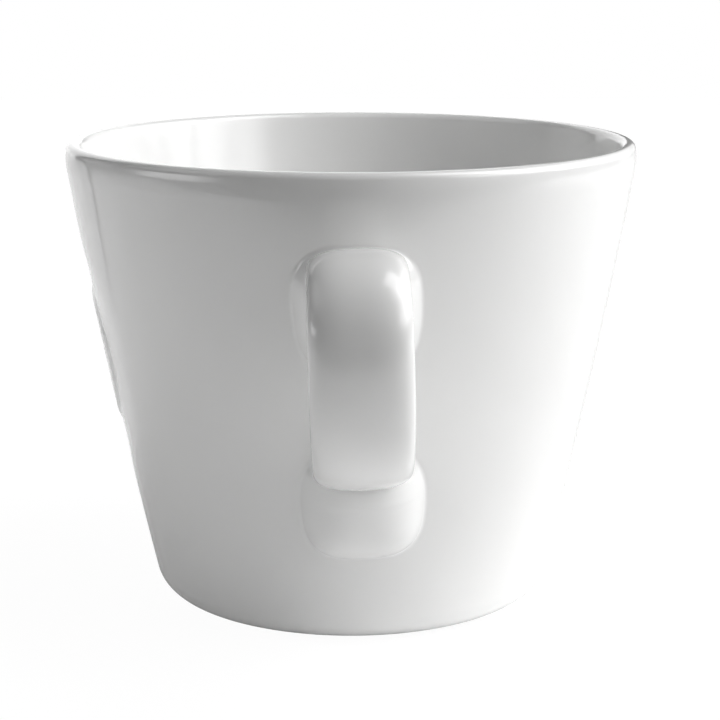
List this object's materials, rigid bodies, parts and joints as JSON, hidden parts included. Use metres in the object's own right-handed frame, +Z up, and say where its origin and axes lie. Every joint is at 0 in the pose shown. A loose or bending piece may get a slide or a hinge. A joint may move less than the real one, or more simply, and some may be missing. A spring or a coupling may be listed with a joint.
{
  "type": "shaving mug",
  "caption": "Tapered glazed porcelain mug with a rounded lip, a bare foot ring, a flat strap handle on two root pads and a plain raised disc on one side.",
  "frame": {"origin": "centre of the foot, on the plane that the mug stands on", "axes": "+Z up along the cup's axis, -Y towards the handle, -X towards the side medallion"},
  "size_m": [0.0992, 0.1221, 0.0809],
  "materials": {
    "glazed_body": "clear gloss glaze over white porcelain",
    "bare_foot": "unglazed, ground smooth",
    "glazed_handle": "clear gloss glaze over white porcelain",
    "glazed_pad": "clear gloss glaze, slightly pooled round the edges",
    "glazed_slip": "clear gloss glaze over wiped slip",
    "glazed_medallion": "clear gloss glaze over low relief"
  },
  "bodies": {
    "root": {"cup_body": "glazed_body", "foot_ring": "bare_foot", "handle_strap": "glazed_handle", "upper_root_pad": "glazed_pad", "lower_root_pad": "glazed_pad", "upper_slip_joint": "glazed_slip", "lower_slip_joint": "glazed_slip", "side_medallion": "glazed_medallion"}
  },
  "joints": []
}
